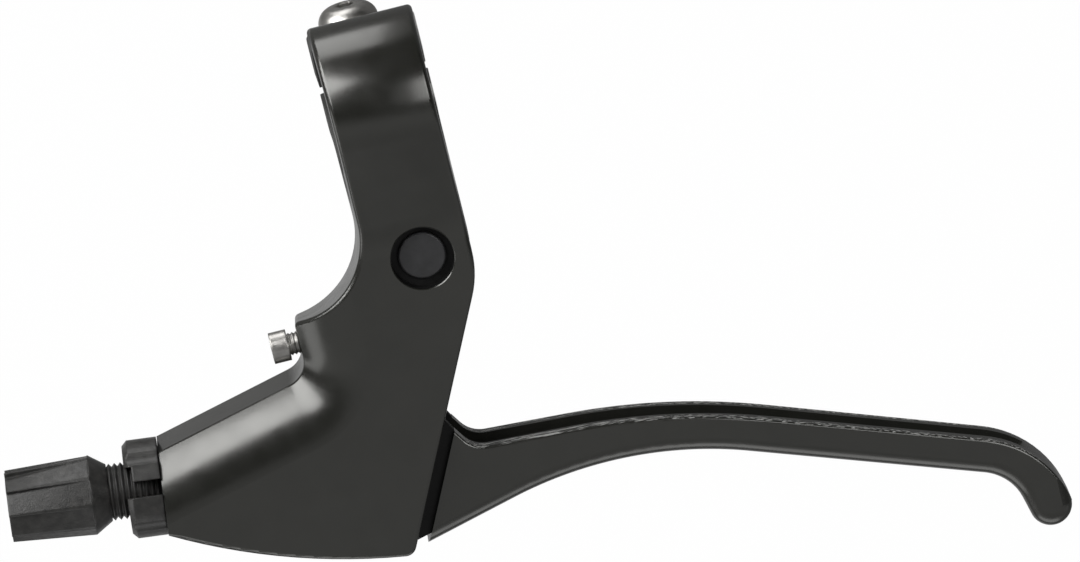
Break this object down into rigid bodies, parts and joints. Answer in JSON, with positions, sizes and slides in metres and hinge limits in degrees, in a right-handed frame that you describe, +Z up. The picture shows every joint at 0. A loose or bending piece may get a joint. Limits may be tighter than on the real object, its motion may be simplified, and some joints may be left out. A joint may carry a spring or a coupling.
{
  "type": "bicycle brake lever",
  "caption": "Bicycle brake lever for a flat bar: a clamp bracket, a long curved blade on a pivot, a reach screw and a barrel cable adjuster with its lock ring.",
  "frame": {"origin": "centre of the bar clamp's bore", "axes": "+X along the handlebar towards the blade's tip, +Y towards the rider, +Z up along the blade's pivot"},
  "size_m": [0.1809, 0.118, 0.0377],
  "materials": {
    "painted_casting": "cast aluminium under semi-gloss black paint",
    "adjuster_plastic": "matt dark grey moulded plastic",
    "black_steel": "blackened steel",
    "bush_plastic": "black bearing plastic",
    "bright_steel": "bright zinc-plated steel"
  },
  "bodies": {
    "bracket": {"lever_bracket": "painted_casting", "pivot_axle": "black_steel", "axle_clip": "black_steel", "clamp_bolt": "bright_steel"},
    "lever": {"brake_lever": "painted_casting", "upper_pivot_bush": "bush_plastic", "lower_pivot_bush": "bush_plastic"},
    "hook": {"cable_hook": "bright_steel"},
    "adjuster": {"adjuster_barrel": "adjuster_plastic"},
    "lock_ring": {"adjuster_lock_ring": "adjuster_plastic"},
    "reach_screw": {"reach_screw": "bright_steel"}
  },
  "joints": [
    {"name": "lever_pivot", "type": "hinge", "parent": "bracket", "child": "lever", "pos_m": [0.0004, -0.0269, 0], "axis": [0, 0, 1], "range_deg": [0, 30]},
    {"name": "cable_hook_swivel", "type": "hinge", "parent": "lever", "child": "hook", "pos_m": [-0.0107, -0.06255, 0], "axis": [0, 0, 1], "range_deg": [-30, 0]},
    {"name": "adjuster_turn", "type": "hinge", "parent": "bracket", "child": "adjuster", "pos_m": [-0.0533, -0.0577, 0], "axis": [-0.9936, 0.1132, 0], "continuous": true},
    {"name": "lock_ring_turn", "type": "hinge", "parent": "bracket", "child": "lock_ring", "pos_m": [-0.0533, -0.0577, 0], "axis": [-0.9936, 0.1132, 0], "continuous": true},
    {"name": "reach_screw_turn", "type": "hinge", "parent": "bracket", "child": "reach_screw", "pos_m": [-0.024, -0.0385, 0], "axis": [-1, 0, 0], "continuous": true}
  ]
}
